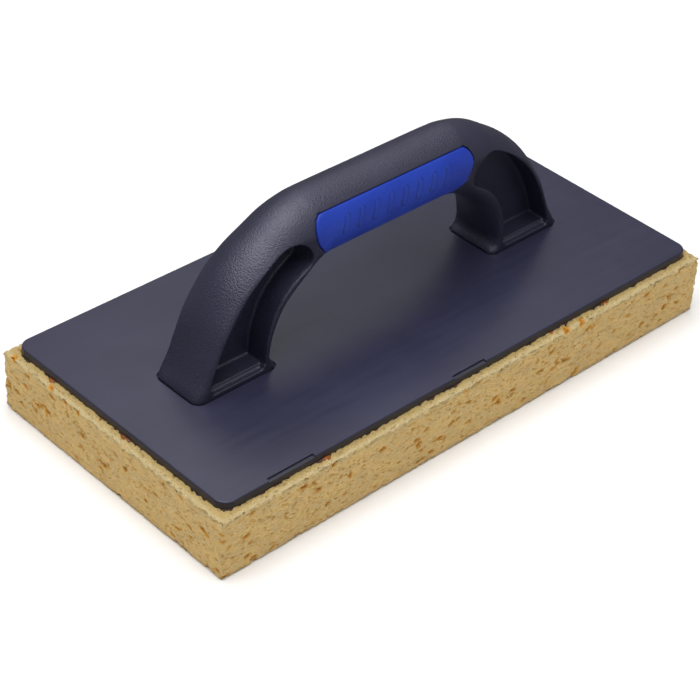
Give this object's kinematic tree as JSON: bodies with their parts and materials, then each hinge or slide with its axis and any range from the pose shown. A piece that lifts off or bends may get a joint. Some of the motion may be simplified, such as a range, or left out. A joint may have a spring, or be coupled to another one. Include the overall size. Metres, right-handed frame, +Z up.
{
  "type": "grout float",
  "caption": "Sponge grout float: a thick foam pad glued under a flat plastic plate, with a bow handle, soft grip and screwed feet.",
  "frame": {"origin": "middle of the pad's working face, which is the middle of the whole float's underside", "axes": "+X along the float and the handle, +Y across it, +Z up from the working face to the grip"},
  "size_m": [0.28, 0.14, 0.1021],
  "materials": {
    "foam": "open-celled tan foam with elongated brown pores",
    "contact_glue": "set brown contact glue, amber where thick",
    "plate_plastic": "satin blue-grey moulded plastic",
    "handle_plastic": "fine-grained charcoal moulded plastic",
    "grip_rubber": "satin blue soft-touch rubber",
    "screw_steel": "zinc-plated steel"
  },
  "bodies": {
    "root": {"sponge_pad": "foam", "adhesive_layer": "contact_glue", "base_plate": "plate_plastic", "handle_frame": "handle_plastic", "soft_grip": "grip_rubber", "screw_left_outer": "screw_steel", "screw_left_inner": "screw_steel", "screw_right_inner": "screw_steel", "screw_right_outer": "screw_steel"}
  },
  "joints": []
}
